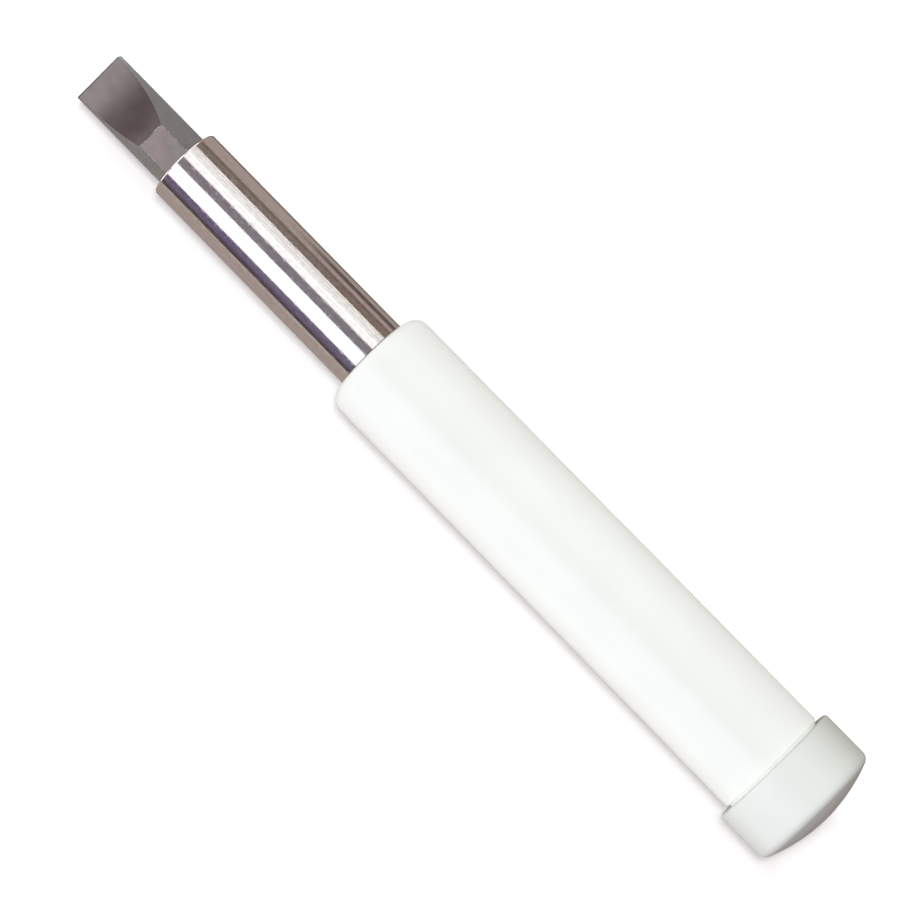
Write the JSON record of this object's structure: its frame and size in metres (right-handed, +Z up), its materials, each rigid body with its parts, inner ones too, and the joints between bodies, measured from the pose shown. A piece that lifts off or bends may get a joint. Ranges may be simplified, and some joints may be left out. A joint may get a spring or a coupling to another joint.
{
  "type": "pocket screwdriver",
  "caption": "Pocket bit driver: white moulded handle with a domed pull-off cap, chromed sleeve with a magnetic hexagon socket, flat blade bit in use and spare bits inside.",
  "frame": {"origin": "bottom centre of the whole tool's box: on the surface that the cap's rim touches, halfway between the blade's tip and the middle of the cap's dome, under the tool's axis", "axes": "+X runs along the tool from the cap towards the blade's tip, +Z is up with the blade's broad faces level, +Y is across the blade; the axis is 8.51 mm above the origin"},
  "size_m": [0.1222, 0.017, 0.017],
  "materials": {
    "handle_plastic": "moulded, soft gloss",
    "cap_plastic": "moulded, satin",
    "chromed_steel": "bright chrome",
    "bit_steel": "ground, grey",
    "spring_steel": "drawn wire",
    "plated_magnet": "nickel plated",
    "pad_rubber": "matt"
  },
  "bodies": {
    "handle": {"handle_barrel": "handle_plastic", "drive_sleeve": "chromed_steel", "retaining_ring": "spring_steel", "bit_magnet": "plated_magnet"},
    "working_bit": {"slotted_bit": "bit_steel"},
    "spare_front": {"phillips_bit_large": "bit_steel"},
    "spare_middle": {"phillips_bit_small": "bit_steel"},
    "spare_rear": {"slotted_bit_small": "bit_steel"},
    "cap": {"end_cap": "cap_plastic", "cap_pad": "pad_rubber"}
  },
  "joints": [
    {"name": "bit_pull", "type": "slide", "parent": "handle", "child": "working_bit", "axis": [1, 0, 0], "range_m": [0, 0.03]},
    {"name": "cap_pull", "type": "slide", "parent": "handle", "child": "cap", "axis": [-1, 0, 0], "range_m": [0, 0.11]},
    {"name": "spare_rear_slide", "type": "slide", "parent": "handle", "child": "spare_rear", "axis": [-1, 0, 0], "range_m": [0, 0.1001]},
    {"name": "spare_middle_slide", "type": "slide", "parent": "handle", "child": "spare_middle", "axis": [-1, 0, 0], "range_m": [0, 0.0902]},
    {"name": "spare_front_slide", "type": "slide", "parent": "handle", "child": "spare_front", "axis": [-1, 0, 0], "range_m": [0, 0.0825]}
  ],
  "couplings": [
    {"joint": "spare_rear_slide", "follows": "cap_pull", "ratio": 0.91},
    {"joint": "spare_middle_slide", "follows": "cap_pull", "ratio": 0.82},
    {"joint": "spare_front_slide", "follows": "cap_pull", "ratio": 0.75}
  ]
}
